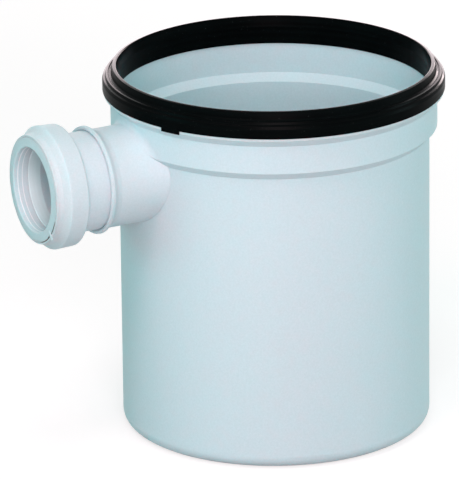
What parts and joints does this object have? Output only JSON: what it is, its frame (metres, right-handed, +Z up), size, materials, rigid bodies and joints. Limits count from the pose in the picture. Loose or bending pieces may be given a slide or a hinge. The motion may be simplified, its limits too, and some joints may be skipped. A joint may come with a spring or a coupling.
{
  "type": "gully trap",
  "caption": "Round plastic gully pot with a rubber-sealed riser socket on top, a beaded side socket for the outlet pipe and a dip bend inside that holds the water seal.",
  "frame": {"origin": "middle of the pot's flat underside", "axes": "+Z up along the pot's axis to the riser socket; the side socket points along -X"},
  "size_m": [0.4458, 0.3468, 0.3803],
  "materials": {
    "pot_plastic": "pale aqua-grey moulded plastic with a fine matte grain",
    "black_rubber": "smooth black rubber, slightly glossy",
    "pale_rubber": "soft pale grey-green sealing rubber, satin"
  },
  "bodies": {
    "root": {"pot": "pot_plastic", "side_socket": "pot_plastic", "retaining_ring": "pot_plastic", "trap_bend": "pot_plastic", "top_seal_ring": "black_rubber", "socket_seal_ring": "pale_rubber", "stub_seal_ring": "black_rubber", "trap_bend_seal": "black_rubber"}
  },
  "joints": []
}
